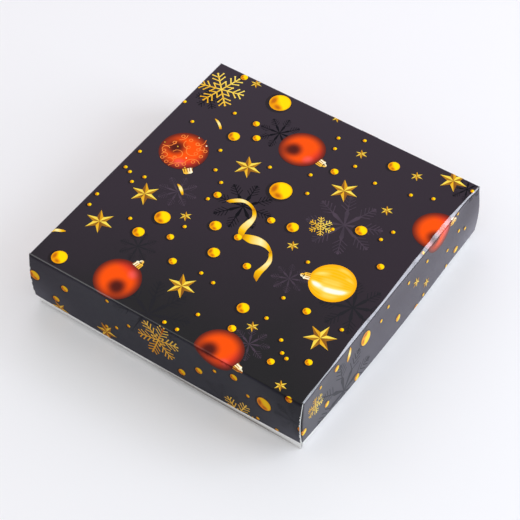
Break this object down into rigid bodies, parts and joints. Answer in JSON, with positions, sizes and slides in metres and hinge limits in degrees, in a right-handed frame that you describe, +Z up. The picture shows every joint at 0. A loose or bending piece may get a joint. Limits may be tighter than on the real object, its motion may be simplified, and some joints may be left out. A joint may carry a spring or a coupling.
{
  "type": "gift box",
  "caption": "Shallow square folding-carton gift box: a printed lift-off lid over a plain white tray that shows below its rim.",
  "frame": {"origin": "middle of the face that the closed box stands on", "axes": "+X along the front wall towards the right side wall, +Y from the front wall to the back wall, +Z up"},
  "size_m": [0.2, 0.204, 0.048],
  "materials": {
    "printed_board": "glossy film-laminated print on the outside, bare white board inside",
    "white_board": "smooth matt white board"
  },
  "bodies": {
    "tray": {"tray_floor_panel": "white_board", "tray_front_outer_wall": "white_board", "tray_front_rim_web": "white_board", "tray_front_inner_wall": "white_board", "tray_back_outer_wall": "white_board", "tray_back_rim_web": "white_board", "tray_back_inner_wall": "white_board", "tray_left_side_wall": "white_board", "tray_right_side_wall": "white_board", "tray_front_left_corner_flap": "white_board", "tray_front_right_corner_flap": "white_board", "tray_back_left_corner_flap": "white_board", "tray_back_right_corner_flap": "white_board"},
    "lid": {"lid_top_panel": "printed_board", "lid_front_outer_wall": "printed_board", "lid_front_rim_web": "printed_board", "lid_front_inner_wall": "printed_board", "lid_back_outer_wall": "printed_board", "lid_back_rim_web": "printed_board", "lid_back_inner_wall": "printed_board", "lid_left_side_wall": "printed_board", "lid_right_side_wall": "printed_board", "lid_front_left_corner_flap": "printed_board", "lid_front_right_corner_flap": "printed_board", "lid_back_left_corner_flap": "printed_board", "lid_back_right_corner_flap": "printed_board"}
  },
  "joints": [
    {"name": "lid_lift", "type": "slide", "parent": "tray", "child": "lid", "axis": [0, 0, 1], "range_m": [0, 0.06]}
  ]
}
